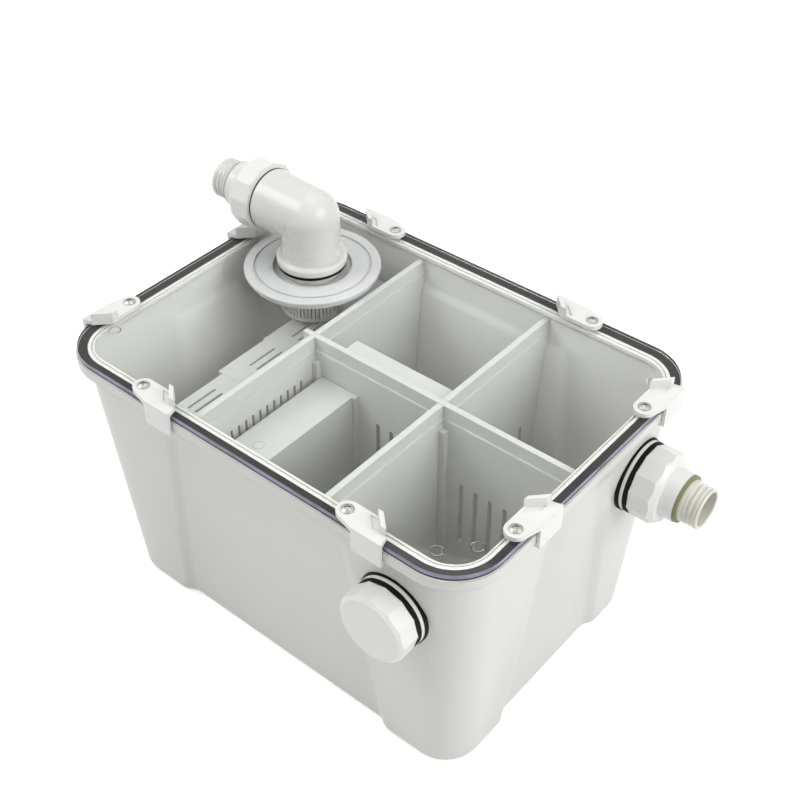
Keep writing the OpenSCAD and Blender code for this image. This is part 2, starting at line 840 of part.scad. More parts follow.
module divider_long() {
    levels = room_levels(divider_height);
    left_end = divider_left_x - slot_fit / 2 - rib_width - end_play;
    right = [for (z = levels) room_x(z)];
    left = [for (z = levels) left_end];
    middle_top = lid_top - slot_middle_drop;
    right_top = lid_top - slot_right_drop;
    color([0.76, 0.77, 0.74])
    translate([0, divider_long_y, 0]) difference() {
        union() {
            intersection() {
                partition_sheet(left, right, levels);
                translate([left_end, -rib_out - divider_low, 0])
                    cube([2 * lid_length, 2 * (rib_out + divider_low), tub_height]);
            }
            for (x = [divider_left_x, divider_right_x], face = [-1, 1]) {
                rib(x + slot_fit / 2, rib_width, face, rib_out, rib_height);
                rib(x - slot_fit / 2 - rib_width, rib_width, face, rib_out, rib_height);
            }
            rib(inlet_baffle_x - sheet - divider_fit - guide, guide, -1, rib_out, inlet_baffle_top - sheet);
            rib(inlet_baffle_x + divider_fit, guide, -1, rib_out, inlet_baffle_top);
        }
        for (x = [divider_left_x, divider_right_x])
            translate([x - slot_fit / 2, -2 * divider_low, -through])
            cube([slot_fit, 4 * divider_low, divider_middle + through]);
        for (k = [0:slot_count - 1]) {
            translate([slot_middle_x + k * slot_pitch, 0, 0])
                round_slot(slot_width, middle_top - slot_height, middle_top);
            translate([slot_right_x + k * slot_pitch, 0, 0])
                round_slot(slot_width, right_top - slot_height, right_top);
        }
    }
}

// Baffles and shelves

front_face = divider_long_y - divider_low / 2 - divider_fit;
back_face = divider_long_y + divider_low / 2 + divider_fit;

// Upright sheet from the front wall to the long partition, standing on two legs
module front_skirt(rear, top, gap) {
    levels = room_levels(top);
    low = [for (z = levels) -room_y(z)];
    high = [for (z = levels) rear];
    rotate([0, 0, 90]) rotate([90, 0, 0]) linear_extrude(sheet) difference() {
        intersection() {
            partition_outline(low, high, levels);
            translate([-lid_width, 0]) square([lid_width + rear, 2 * tub_height]);
        }
        translate([low[0] + leg + floor_fillet, 0]) square([rear - low[0] - 2 * leg - floor_fillet, gap]);
    }
}

module inlet_baffle() {
    left = inlet_baffle_x - inlet_baffle_width;
    front = -room_y(inlet_baffle_top - sheet);
    color([0.88, 0.88, 0.86])
    difference() {
        union() {
            translate([left, front, inlet_baffle_top - sheet])
                cube([inlet_baffle_width, front_face - front, sheet]);
            translate([inlet_baffle_x - sheet, 0, 0])
                front_skirt(front_face, inlet_baffle_top, inlet_baffle_gap);
        }
        translate([divider_left_x, divider_long_y - divider_low / 2 - rib_out - divider_fit, 0])
            cube([slot_fit / 2 + rib_width + divider_fit, 3 * rib_out, tub_height]);
    }
}

module mid_baffle() {
    right = divider_right_x - slot_fit / 2;
    cheek_right = right - rib_width - 2 * divider_fit;
    far = back_face + mid_baffle_depth;
    color([0.80, 0.80, 0.78]) {
        translate([mid_baffle_left, back_face, mid_baffle_top - sheet])
            cube([right - mid_baffle_left, mid_baffle_depth, sheet]);
        translate([mid_baffle_left, far - sheet, mid_baffle_gap])
            cube([right - mid_baffle_left, sheet, mid_baffle_top - mid_baffle_gap]);
        for (x = [mid_baffle_left, cheek_right - sheet])
            translate([x, back_face, floor_thickness])
            cube([sheet, mid_baffle_depth, mid_baffle_top - floor_thickness]);
    }
}

shelf_edge = divider_left_x - divider_low / 2 - divider_fit;

// Row of slots along Y through a shelf, centred on y
module shelf_slots(y) {
    for (reach = [shelf_slot_reach, shelf_slot_reach + shelf_slot_pitch])
        translate([shelf_edge - reach, y, shelf_top - sheet / 2])
        cube([shelf_slot_width, shelf_slot, 2 * sheet], center = true);
}

// Keeps clear of the long partition's end and its ribs
module long_end_cut() {
    end = slot_fit / 2 + rib_width + end_play + divider_fit;
    deep = divider_low / 2 + rib_out + divider_fit;
    translate([divider_left_x - end, divider_long_y - deep, 0])
        cube([end, 2 * deep, tub_height]);
}

module shelf_front() {
    front = -room_y(shelf_top - sheet);
    rear = shelf_seam - divider_fit / 2;
    outer = shelf_edge - shelf_front_reach;
    color([0.84, 0.85, 0.83])
    difference() {
        union() {
            translate([outer, front, shelf_top - sheet]) cube([shelf_front_reach, rear - front, sheet]);
            translate([outer, 0, 0]) front_skirt(rear, shelf_top, shelf_gap);
        }
        shelf_slots(front_slot_y);
    }
}

module shelf_rear() {
    back = room_y(shelf_top - sheet);
    front = shelf_seam + divider_fit / 2;
    outer = shelf_edge - shelf_rear_reach;
    color([0.83, 0.84, 0.82])
    difference() {
        union() {
            translate([outer, front, shelf_top - sheet]) cube([shelf_rear_reach, back - front, sheet]);
            translate([outer - shelf_step, shelf_step, shelf_top - sheet])
                cube([shelf_step, back - shelf_step, sheet]);
            translate([outer, 0, 0]) mirror([0, 1, 0]) front_skirt(-front, shelf_top, shelf_gap);
        }
        shelf_slots(near_slot_y);
        shelf_slots(far_slot_y);
        long_end_cut();
    }
}

// Strainer under the lid

module strainer_holder() {
    skirt_low = -flange_thickness - ledge_skirt_drop;
    skirt_inner = basket_rim + divider_fit;
    color([0.86, 0.86, 0.85])
    translate([inlet_x, inlet_y, holder_top]) difference() {
        union() {
            translate([0, 0, -flange_thickness]) disc(flange_radius, flange_thickness);
            translate([0, 0, -hub_depth - hub_wall]) disc(hub_radius + hub_wall, hub_depth + hub_wall);
            translate([0, 0, skirt_low])
                washer(skirt_inner + ledge_skirt, skirt_inner, ledge_skirt_drop + through);
            for (a = [0:120:240]) rotate([0, 0, a])
                translate([0, 0, skirt_low]) bayonet_sector(lug_angle, basket_rim + lug_lap, lug_height);
        }
        translate([0, 0, -hub_depth]) disc(hub_radius, hub_depth + through);
        translate([0, 0, -hub_depth - hub_wall - through])
            disc(spigot_radius + 2 * divider_fit, hub_depth + 2 * hub_wall);
        translate([0, 0, -2 * flange_thickness / 3])
            washer(groove_radius + groove_width / 2, groove_radius - groove_width / 2, flange_thickness);
    }
}

basket_rim = flange_radius - rim_margin;

// Ring sector just inside the radius given, for the twist lugs and their notches
module bayonet_sector(angle, outer, height) {
    rotate([0, 0, -angle / 2]) rotate_extrude(angle = angle)
        translate([basket_rim - lug_reach, 0]) square([outer - basket_rim + lug_reach, height]);
}

module strainer_basket() {
    rim_top = holder_top - flange_thickness;
    bottom = lid_top - cup_drop;
    neck = hub_radius + neck_margin;
    neck_low = rim_top - neck_height;
    waist = neck_low - neck_taper;
    color([0.80, 0.81, 0.78])
    translate([inlet_x, inlet_y, 0]) difference() {
        rotate_extrude() polygon([
            [basket_rim, rim_top],
            [basket_rim, rim_top - basket_rim_thickness],
            [neck + cup_wall, rim_top - basket_rim_thickness],
            [neck + cup_wall, neck_low],
            [cup_radius, waist],
            [cup_radius, bottom],
            [0, bottom],
            [0, bottom + cup_wall],
            [cup_radius - cup_wall, bottom + cup_wall],
            [cup_radius - cup_wall, waist + cup_wall / 2],
            [neck, neck_low + cup_wall / 2],
            [neck, rim_top]]);
        for (k = [0:cup_slots - 1]) rotate([0, 0, 360 * k / cup_slots])
            translate([cup_radius - 2 * cup_wall, -cup_slot / 2, bottom + 2 * cup_wall])
            cube([3 * cup_wall, cup_slot, waist - bottom - 3 * cup_wall]);
        for (a = [30:120:270]) rotate([0, 0, a])
            translate([0, 0, rim_top - basket_rim_thickness - through])
            bayonet_sector(notch_angle, basket_rim + through, basket_rim_thickness + 2 * through);
        for (ring = bottom_rings, k = [0:ring[1] - 1])
            rotate([0, 0, 360 * k / ring[1]]) translate([ring[0], 0, bottom - through])
            disc(bottom_hole, cup_wall + 2 * through);
    }
}

// Inlet elbow

module elbow_shape(upright, mouth) {
    translate([0, 0, elbow_gasket_thickness + elbow_collar_height])
        disc(upright, limb_height - elbow_gasket_thickness - elbow_collar_height);
    translate([0, 0, limb_height]) {
        sphere(upright);
        rotate([0, -90, 0]) cylinder(r1 = upright, r2 = mouth, h = limb_reach);
    }
}

// Collar with a round edge, standing on its gasket
module collar_bead() {
    height = elbow_collar_height - face_gap;
    rotate_extrude() {
        square([elbow_collar - height / 2, height]);
        translate([elbow_collar - height / 2, height / 2]) circle(height / 2, $fn = 24);
    }
}

module inlet_elbow() {
    bore = elbow_tube - elbow_wall;
    spigot_low = lid_thickness + hub_depth + hub_wall + lock_nut_height + spigot_end;
    color([0.90, 0.90, 0.88])
    at_inlet() difference() {
        union() {
            elbow_shape(elbow_tube, elbow_mouth);
            translate([0, 0, elbow_gasket_thickness + face_gap]) collar_bead();
            translate([0, 0, -spigot_low]) disc(spigot_radius, spigot_low + elbow_gasket_thickness + through);
            translate([-limb_reach, 0, limb_height]) rotate([0, -90, 0])
                disc(barrel_radius, mouth_seal + free_barrel);
        }
        translate([0, 0, -spigot_low - through])
            disc(bore - spigot_step, spigot_low + 2 * through + elbow_gasket_thickness);
        translate([0, 0, elbow_gasket_thickness]) disc(bore, limb_height - elbow_gasket_thickness);
        translate([0, 0, limb_height]) sphere(bore);
        translate([0, 0, limb_height]) rotate([0, -90, 0]) disc(bore, limb_reach - bore_end);
        translate([0, 0, limb_height]) rotate([0, -90, 0])
            disc(barrel_radius - barrel_wall, limb_reach + mouth_seal + free_barrel + through);
    }
}

module elbow_gasket() {
    color([0.10, 0.10, 0.10])
    at_inlet() washer(elbow_collar - washer_margin, spigot_radius + divider_fit, elbow_gasket_thickness);
}

module elbow_lock_nut() {
    low = lid_thickness + hub_depth + hub_wall + 2 * face_gap + lock_nut_height;
    color([0.70, 0.70, 0.69])
    at_inlet() translate([0, 0, -low]) difference() {
        cylinder(r = lock_nut_radius, h = lock_nut_height, $fn = 8);
        translate([0, 0, -through]) disc(spigot_radius + turn_fit, lock_nut_height + 2 * through);
    }
}

// Unions: the barrel's free length, then the nut over it, the ring at its end and the tail

free_barrel = nut_length - nut_roof;
tail_neck = tail_radius - neck_step;
shoulder = nut_length + collar_length + end_ring;

module twelve_sided(radius, length, end_radius, chamfer, phase) {
    flare = (radius - end_radius) / chamfer * through;
    intersection() {
        rotate([0, 0, phase]) cylinder(r = radius, h = length, $fn = 12);
        union() {
            translate([0, 0, -through]) disc(radius + through, length - chamfer);
            translate([0, 0, length - chamfer - through])
                cylinder(r1 = radius + flare, r2 = end_radius - flare, h = chamfer + 2 * through);
        }
    }
}

module union_nut() {
    seat = free_barrel + tail_flange + 2 * face_gap;
    difference() {
        union() {
            twelve_sided(nut_radius, nut_length, nut_radius - nut_taper, nut_chamfer, nut_phase);
            disc(collar_radius, nut_length + collar_length);
        }
        translate([0, 0, -through]) disc(barrel_radius + turn_fit, seat + through);
        disc(tail_radius + divider_fit, nut_length + collar_length + through);
    }
}

module union_tail() {
    start = free_barrel + face_gap;
    bore = shoulder + tail_length - start;
    difference() {
        union() {
            translate([0, 0, start]) disc(barrel_radius - divider_fit, tail_flange);
            translate([0, 0, start]) disc(tail_neck, shoulder - start + through);
            translate([0, 0, shoulder]) disc(tail_radius, tail_length);
        }
        translate([0, 0, start - through]) disc(tail_radius - tail_wall, bore + 2 * through);
    }
}

module union_end_ring() {
    translate([0, 0, nut_length + collar_length + face_gap])
        washer(collar_radius - washer_margin, tail_neck, end_ring - face_gap);
}

// Everything from the seal ring outwards is drawn from the ring's outer face
module at_mouth_nut() { at_mouth() translate([0, 0, mouth_seal]) children(); }

module inlet_seal() {
    color([0.12, 0.12, 0.12])
    at_mouth() washer(elbow_mouth, barrel_radius + turn_fit, mouth_seal - face_gap);
}

module inlet_nut() { color([0.88, 0.88, 0.87]) at_mouth_nut() union_nut(); }
module inlet_end_ring() { color([0.34, 0.35, 0.22]) at_mouth_nut() union_end_ring(); }
module inlet_tail() { color([0.86, 0.85, 0.80]) at_mouth_nut() union_tail(); }

// Barrel through the wall, with its flange inside the tub
module wall_barrel(length) {
    inner_end = seat_thickness + barrel_flange_thickness;
    difference() {
        union() {
            translate([0, 0, -seat_thickness]) disc(barrel_radius, seat_thickness + length);
            translate([0, 0, -inner_end]) disc(barrel_flange, barrel_flange_thickness);
        }
        translate([0, 0, -inner_end - through])
            disc(barrel_radius - barrel_wall, length + inner_end + 2 * through);
    }
}

module wall_gasket(radius) {
    washer(radius, barrel_radius + turn_fit, gasket_thickness);
}

module wall_washer(radius) {
    translate([0, 0, gasket_thickness]) washer(radius, barrel_radius + turn_fit, washer_thickness);
}

module wall_seal(radius) {
    translate([0, 0, stack]) washer(radius, barrel_radius + turn_fit, ring_thickness - face_gap);
}

module at_outlet_nut() { at_outlet() translate([0, 0, stack + ring_thickness]) children(); }

module outlet_barrel() {
    color([0.85, 0.85, 0.84]) at_outlet() wall_barrel(stack + ring_thickness + free_barrel);
}

module outlet_gasket() { color([0.08, 0.08, 0.08]) at_outlet() wall_gasket(outlet_gasket_radius); }
module outlet_washer() {
    color([0.90, 0.90, 0.88]) at_outlet() wall_washer(outlet_gasket_radius - washer_margin);
}

module outlet_seal() { color([0.12, 0.12, 0.12]) at_outlet() wall_seal(nut_radius - seal_margin); }
module outlet_nut() { color([0.90, 0.90, 0.88]) at_outlet_nut() union_nut(); }
module outlet_end_ring() { color([0.34, 0.35, 0.22]) at_outlet_nut() union_end_ring(); }
module outlet_tail() { color([0.84, 0.83, 0.76]) at_outlet_nut() union_tail(); }

// Drain plug

cap_bore_depth = cap_length - cap_roof;
plug_barrel_length = stack + ring_thickness + cap_bore_depth - cap_end_gap;

module plug_barrel() { color([0.85, 0.85, 0.84]) at_plug() wall_barrel(plug_barrel_length); }
module plug_gasket() { color([0.08, 0.08, 0.08]) at_plug() wall_gasket(plug_gasket_radius); }
module plug_washer() {
    color([0.90, 0.90, 0.88]) at_plug() wall_washer(plug_gasket_radius - washer_margin);
}

module plug_seal() { color([0.12, 0.12, 0.12]) at_plug() wall_seal(cap_radius - seal_margin); }

module plug_cap() {
    color([0.90, 0.90, 0.88])
    at_plug() translate([0, 0, stack + ring_thickness]) difference() {
        twelve_sided(cap_radius, cap_length, cap_radius - cap_taper, cap_chamfer, 0);
        translate([0, 0, -through]) disc(barrel_radius + turn_fit, cap_bore_depth + through);
    }
}

tub();
rim_gasket();
lid();
clip_front_left();
clip_front_right();
clip_right_front();
clip_right_back();
clip_back_right();
clip_back_left();
clip_left_back();
clip_left_front();
clip_screws();
divider_left();
divider_long();
divider_right();
inlet_baffle();
mid_baffle();
shelf_front();
shelf_rear();
strainer_holder();
strainer_basket();
inlet_elbow();
elbow_gasket();
elbow_lock_nut();
inlet_seal();
inlet_nut();
inlet_end_ring();
inlet_tail();
outlet_barrel();
outlet_gasket();
outlet_washer();
outlet_seal();
outlet_nut();
outlet_end_ring();
outlet_tail();
plug_barrel();
plug_gasket();
plug_washer();
plug_seal();
plug_cap();
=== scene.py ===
import math

import bmesh
import bpy
from mathutils import Matrix, Vector


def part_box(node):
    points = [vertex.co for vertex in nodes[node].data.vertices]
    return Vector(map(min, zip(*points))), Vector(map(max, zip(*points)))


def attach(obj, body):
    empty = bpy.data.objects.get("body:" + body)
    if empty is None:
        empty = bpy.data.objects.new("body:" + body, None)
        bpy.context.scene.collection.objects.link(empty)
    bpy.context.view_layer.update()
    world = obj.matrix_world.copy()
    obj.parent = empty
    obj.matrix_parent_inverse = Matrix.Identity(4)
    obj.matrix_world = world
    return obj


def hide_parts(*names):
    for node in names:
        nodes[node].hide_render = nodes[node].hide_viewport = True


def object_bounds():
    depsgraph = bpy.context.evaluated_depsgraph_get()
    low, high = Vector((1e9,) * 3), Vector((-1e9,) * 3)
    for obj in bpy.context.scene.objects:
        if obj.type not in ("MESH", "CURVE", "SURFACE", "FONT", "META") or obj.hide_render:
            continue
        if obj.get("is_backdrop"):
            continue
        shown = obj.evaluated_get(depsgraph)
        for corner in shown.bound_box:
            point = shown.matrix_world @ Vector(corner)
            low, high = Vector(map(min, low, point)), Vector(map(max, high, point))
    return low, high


# Plaster trap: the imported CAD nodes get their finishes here, and small moulded details ride on them.
# Everything is in metres in the CAD's own frame: foot on z = 0, outlet towards +X, plug towards -Y.

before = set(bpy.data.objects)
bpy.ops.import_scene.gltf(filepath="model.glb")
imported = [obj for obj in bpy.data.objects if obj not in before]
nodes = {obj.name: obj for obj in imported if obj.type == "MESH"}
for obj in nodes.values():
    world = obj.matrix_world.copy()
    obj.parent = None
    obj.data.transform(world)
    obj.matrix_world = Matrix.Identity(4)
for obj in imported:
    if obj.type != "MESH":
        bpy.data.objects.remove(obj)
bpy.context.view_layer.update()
print("stage: frame loaded,", len(nodes), "nodes")

mm = 0.001
scene = bpy.context.scene
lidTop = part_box("lid")[1].z

# Camera

cameraLook = {
    "azimuth": 39.628,      # degrees round the object, 0 looks along +Y
    "elevation": 40.517,    # degrees above the horizon
    "roll": 0.058,
    "focal": 59.44,         # mm
    "sensor": 36,           # mm
    "eye": (0.5296, -0.6086, 0.6440),    # from the middle of the lid's top
}


# Unit vector from the object towards an azimuth and elevation in degrees
def wayTo(azimuth, elevation):
    a, e = math.radians(azimuth), math.radians(elevation)
    return Vector((math.sin(a) * math.cos(e), -math.cos(a) * math.cos(e), math.sin(e)))


def makeCamera():
    back = wayTo(cameraLook["azimuth"], cameraLook["elevation"])
    around = math.radians(cameraLook["azimuth"])
    right = Vector((math.cos(around), math.sin(around), 0))
    up = back.cross(right)
    turn = Matrix((right, up, back)).transposed().to_4x4()
    roll = Matrix.Rotation(math.radians(cameraLook["roll"]), 4, "Z")
    data = bpy.data.cameras.new("camera")
    data.lens = cameraLook["focal"]
    data.sensor_width = cameraLook["sensor"]
    camera = bpy.data.objects.new("camera", data)
    eye = Vector(cameraLook["eye"]) + Vector((0, 0, lidTop))
    camera.matrix_world = Matrix.Translation(eye) @ turn @ roll
    scene.collection.objects.link(camera)
    scene.camera = camera


makeCamera()
print("stage: camera")

# Shader node groups that several finishes share


def socket(group, name, kind, way):
    group.interface.new_socket(name=name, in_out=way, socket_type="NodeSocket" + kind)


def newGroup(name, inputs, outputs):
    group = bpy.data.node_groups.new(name, "ShaderNodeTree")
    for label, kind in inputs:
        socket(group, label, kind, "INPUT")
    for label, kind in outputs:
        socket(group, label, kind, "OUTPUT")
    return group, group.nodes.new("NodeGroupInput"), group.nodes.new("NodeGroupOutput")


# Sets a socket to a value, or links what comes from another node
def feed(tree, into, v):
    if isinstance(v, (int, float, tuple)):
        into.default_value = v
    elif v is not None:
        tree.links.new(v, into)


# Scale is per metre
def noiseNode(tree, vector, scale, detail):
    n = tree.nodes.new("ShaderNodeTexNoise")
    feed(tree, n.inputs["Scale"], scale)
    n.inputs["Detail"].default_value = detail
    tree.links.new(vector, n.inputs["Vector"])
    return n.outputs["Fac"]


def mathNode(tree, operation, a, b=None, clamp=False):
    n = tree.nodes.new("ShaderNodeMath")
    n.operation = operation
    n.use_clamp = clamp
    feed(tree, n.inputs[0], a)
    feed(tree, n.inputs[1], b)
    return n.outputs[0]


def rangeNode(tree, value, low, high, toLow, toHigh):
    n = tree.nodes.new("ShaderNodeMapRange")
    for label, v in (("Value", value), ("From Min", low), ("From Max", high),
                     ("To Min", toLow), ("To Max", toHigh)):
        feed(tree, n.inputs[label], v)
    return n.outputs["Result"]


def colourMix(tree, factor, a, b):
    n = tree.nodes.new("ShaderNodeMix")
    n.data_type = "RGBA"
    for i, v in ((0, factor), (6, a), (7, b)):    # factor, colour A and colour B
        feed(tree, n.inputs[i], v)
    return n.outputs[2]


def mixShader(tree, factor, a, b):
    n = tree.nodes.new("ShaderNodeMixShader")
    for i, v in enumerate((factor, a, b)):
        feed(tree, n.inputs[i], v)
    return n.outputs[0]


def objectPlace(tree):
    return tree.nodes.new("ShaderNodeTexCoord").outputs["Object"]


# Rays that see the white background: straight, through glass and mirrored
def seenRays(tree):
    path = tree.nodes.new("ShaderNodeLightPath")
    seen = mathNode(tree, "MAXIMUM", path.outputs["Is Camera Ray"], path.outputs["Is Transmission Ray"])
    return mathNode(tree, "MAXIMUM", seen, path.outputs["Is Glossy Ray"])


# A value that strays round its mean with a noise, by spread from end to end
def strayNode(tree, mean, noise, spread):
    stray = mathNode(tree, "MULTIPLY", mathNode(tree, "SUBTRACT", noise, 0.5), spread)
    return mathNode(tree, "ADD", mean, stray)


skinOutputs = [("Colour", "Color"), ("Roughness", "Float"), ("Height", "Float")]
mouldedNoise = {
    "driftDetail": 3, "driftSpan": (0.35, 0.65),    # the noise's values over which the colour changes
    "flow": (60, 4), "flowHeight": 0.5,             # scale and detail, and the flow's share in the bump
    "grainDetail": 2,
}


# Moulded plastic: colour drifts softly, roughness varies and a fine grain lies on the surface
def makeMouldedSkin():
    g, inp, out = newGroup("mouldedSkin", [
        ("Colour", "Color"), ("Second Colour", "Color"), ("Drift Scale", "Float"), ("Drift", "Float"),
        ("Roughness", "Float"), ("Spread", "Float"), ("Grain Scale", "Float")], skinOutputs)
    where = objectPlace(g)
    drift = noiseNode(g, where, inp.outputs["Drift Scale"], mouldedNoise["driftDetail"])
    flow = noiseNode(g, where, *mouldedNoise["flow"])
    grain = noiseNode(g, where, inp.outputs["Grain Scale"], mouldedNoise["grainDetail"])
    share = rangeNode(g, drift, *mouldedNoise["driftSpan"], 0, 1)
    share = mathNode(g, "MULTIPLY", share, inp.outputs["Drift"], True)
    colour = colourMix(g, share, inp.outputs["Colour"], inp.outputs["Second Colour"])
    rough = strayNode(g, inp.outputs["Roughness"], flow, inp.outputs["Spread"])
    height = mathNode(g, "ADD", grain, mathNode(g, "MULTIPLY", flow, mouldedNoise["flowHeight"]))
    g.links.new(colour, out.inputs["Colour"])
    g.links.new(rough, out.inputs["Roughness"])
    g.links.new(height, out.inputs["Height"])
    return g


rubberNoise = {
    "blotch": (45, 5), "blotchSpan": (0.4, 0.7),    # scale and detail, and the values where dust comes
    "fine": (1400, 2), "spread": 0.2,               # scale and detail, and how far roughness strays
}


# Rubber: darker and lighter blotches with a fine bloom of dust
def makeRubberSkin():
    g, inp, out = newGroup("rubberSkin", [
        ("Colour", "Color"), ("Dust Colour", "Color"),
        ("Dust", "Float"), ("Roughness", "Float")], skinOutputs)
    where = objectPlace(g)
    blotch = noiseNode(g, where, *rubberNoise["blotch"])
    fine = noiseNode(g, where, *rubberNoise["fine"])
    share = rangeNode(g, blotch, *rubberNoise["blotchSpan"], 0, 1)
    share = mathNode(g, "MULTIPLY", share, inp.outputs["Dust"], True)
    colour = colourMix(g, share, inp.outputs["Colour"], inp.outputs["Dust Colour"])
    rough = strayNode(g, inp.outputs["Roughness"], fine, rubberNoise["spread"])
    g.links.new(colour, out.inputs["Colour"])
    g.links.new(rough, out.inputs["Roughness"])
    g.links.new(fine, out.inputs["Height"])
    return g


mouldedSkin = makeMouldedSkin()
rubberSkin = makeRubberSkin()


def newMaterial(name):
    m = bpy.data.materials.new(name)
    m.use_nodes = True
    tree = m.node_tree
    return m, tree, tree.nodes["Principled BSDF"]


def rgba(c):
    return (c[0], c[1], c[2], 1)


def placeGroup(tree, group, values):
    n = tree.nodes.new("ShaderNodeGroup")
    n.node_tree = group
    for label, v in values.items():
        n.inputs[label].default_value = v
    return n


edgeSamples = 4


# Bump from a height over a distance in metres; with an edge radius in mm the edges look rounded too
def bumpFrom(tree, height, shader, strength, distance, edge=0):
    b = tree.nodes.new("ShaderNodeBump")
    if edge:
        soft = tree.nodes.new("ShaderNodeBevel")
        soft.samples = edgeSamples
        soft.inputs["Radius"].default_value = edge * mm
        tree.links.new(soft.outputs["Normal"], b.inputs["Normal"])
    b.inputs["Strength"].default_value = strength
    b.inputs["Distance"].default_value = distance
    tree.links.new(height, b.inputs["Height"])
    tree.links.new(b.outputs["Normal"], shader.inputs["Normal"])


plasticIor = 1.48
rubberGrain = 0.25    # strength of the rubbers' fine bump
skinDepth = 0.0002    # metres that the fine grain stands for


def plastic(name, look):
    m, tree, shader = newMaterial(name)
    skin = placeGroup(tree, mouldedSkin, {
        "Colour": rgba(look["colour"]), "Second Colour": rgba(look["second"]),
        "Drift Scale": look["driftScale"], "Drift": look["drift"],
        "Roughness": look["roughness"], "Spread": look["spread"], "Grain Scale": look["grainScale"]})
    tree.links.new(skin.outputs["Colour"], shader.inputs["Base Color"])
    tree.links.new(skin.outputs["Roughness"], shader.inputs["Roughness"])
    bumpFrom(tree, skin.outputs["Height"], shader, look["grain"], skinDepth, look["edge"])
    shader.inputs["IOR"].default_value = plasticIor
    if "glow" in look:    # light that spreads inside the plastic
        shader.inputs["Subsurface Weight"].default_value = look["glow"]
        shader.inputs["Subsurface Radius"].default_value = look["glowReach"]
        shader.inputs["Subsurface Scale"].default_value = 1.0
    return m


def rubber(name, look):
    m, tree, shader = newMaterial(name)
    skin = placeGroup(tree, rubberSkin, {
        "Colour": rgba(look["colour"]), "Dust Colour": rgba(look["dustColour"]),
        "Dust": look["dust"], "Roughness": look["roughness"]})
    tree.links.new(skin.outputs["Colour"], shader.inputs["Base Color"])
    tree.links.new(skin.outputs["Roughness"], shader.inputs["Roughness"])
    shader.inputs["Specular IOR Level"].default_value = look["shine"]
    bumpFrom(tree, skin.outputs["Height"], shader, rubberGrain, skinDepth)
    return m


# Finishes of the plastics: scales are per metre, and edge is the mm over which edges look rounded

tubLook = {
    "colour": (0.66, 0.66, 0.63), "second": (0.63, 0.63, 0.60), "driftScale": 5.0, "drift": 0.5,
    "roughness": 0.34, "spread": 0.10, "grainScale": 1100.0, "grain": 0.10, "edge": 0.8,
}
innerLook = {
    "colour": (0.53, 0.535, 0.51), "second": (0.50, 0.505, 0.48), "driftScale": 11.0, "drift": 0.6,
    "roughness": 0.38, "spread": 0.12, "grainScale": 1000.0, "grain": 0.10, "edge": 0.6,
}
plateLook = {
    "colour": (0.50, 0.505, 0.49), "second": (0.47, 0.475, 0.46), "driftScale": 14.0, "drift": 0.5,
    "roughness": 0.36, "spread": 0.10, "grainScale": 1000.0, "grain": 0.10, "edge": 0.6,
}
strainerLook = {
    "colour": (0.53, 0.53, 0.53), "second": (0.50, 0.50, 0.50), "driftScale": 20.0, "drift": 0.5,
    "roughness": 0.30, "spread": 0.10, "grainScale": 1200.0, "grain": 0.08, "edge": 0.5,
}
# Painted shade: the basket wears a darker copy of the strainer holder's plastic, because it lies under
# the holder's flange, where less light falls
shadedBasketLook = {
    "colour": (0.46, 0.46, 0.45), "second": (0.43, 0.43, 0.42), "driftScale": 20.0, "drift": 0.5,
    "roughness": 0.32, "spread": 0.10, "grainScale": 1200.0, "grain": 0.08, "edge": 0.5,
}
clipLook = {
    "colour": (0.78, 0.78, 0.76), "second": (0.75, 0.75, 0.73), "driftScale": 30.0, "drift": 0.5,
    "roughness": 0.28, "spread": 0.08, "grainScale": 1400.0, "grain": 0.06, "edge": 0.6,
}
elbowLook = {
    "colour": (0.70, 0.70, 0.67), "second": (0.67, 0.67, 0.64), "driftScale": 18.0, "drift": 0.5,
    "roughness": 0.27, "spread": 0.06, "grainScale": 1400.0, "grain": 0.03, "edge": 0.8,
}
nutLook = {
    "colour": (0.79, 0.79, 0.77), "second": (0.77, 0.77, 0.75), "driftScale": 25.0, "drift": 0.5,
    "roughness": 0.30, "spread": 0.08, "grainScale": 1400.0, "grain": 0.06, "edge": 0.9,
}
tailLook = {
    "colour": (0.68, 0.67, 0.61), "second": (0.64, 0.63, 0.57), "driftScale": 35.0, "drift": 0.6,
    "roughness": 0.22, "spread": 0.08, "grainScale": 1500.0, "grain": 0.05, "edge": 0.5,
    "glow": 0.25, "glowReach": (0.004, 0.004, 0.0035),    # reach in metres
}
paleTailLook = dict(tailLook, colour=(0.72, 0.72, 0.69), second=(0.68, 0.68, 0.65))

tubPlastic = plastic("tubPlastic", tubLook)
innerPlastic = plastic("innerPlastic", innerLook)
platePlastic = plastic("platePlastic", plateLook)
strainerPlastic = plastic("strainerPlastic", strainerLook)
shadedBasketPlastic = plastic("shadedBasketPlastic", shadedBasketLook)
clipPlastic = plastic("clipPlastic", clipLook)
elbowPlastic = plastic("elbowPlastic", elbowLook)
nutPlastic = plastic("nutPlastic", nutLook)
tailPlastic = plastic("tailPlastic", tailLook)
paleTailPlastic = plastic("paleTailPlastic", paleTailLook)

# Finishes of the seals

rimSealLook = {
    "colour": (0.060, 0.060, 0.057), "dustColour": (0.12, 0.12, 0.11),
    "dust": 0.4, "roughness": 0.55, "shine": 0.5,
}
blackSealLook = {
    "colour": (0.004, 0.004, 0.004), "dustColour": (0.03, 0.03, 0.03),
    "dust": 0.2, "roughness": 0.7, "shine": 0.15,
}
mouthSealLook = {
    "colour": (0.05, 0.05, 0.047), "dustColour": (0.14, 0.14, 0.13),
    "dust": 0.5, "roughness": 0.7, "shine": 0.3,
}
paleRingLook = {
    "colour": (0.42, 0.42, 0.37), "dustColour": (0.50, 0.50, 0.45),
    "dust": 0.4, "roughness": 0.5, "shine": 0.4,
}
oliveRingLook = {
    "colour": (0.20, 0.21, 0.10), "dustColour": (0.30, 0.31, 0.18),
    "dust": 0.4, "roughness": 0.5, "shine": 0.4,
}

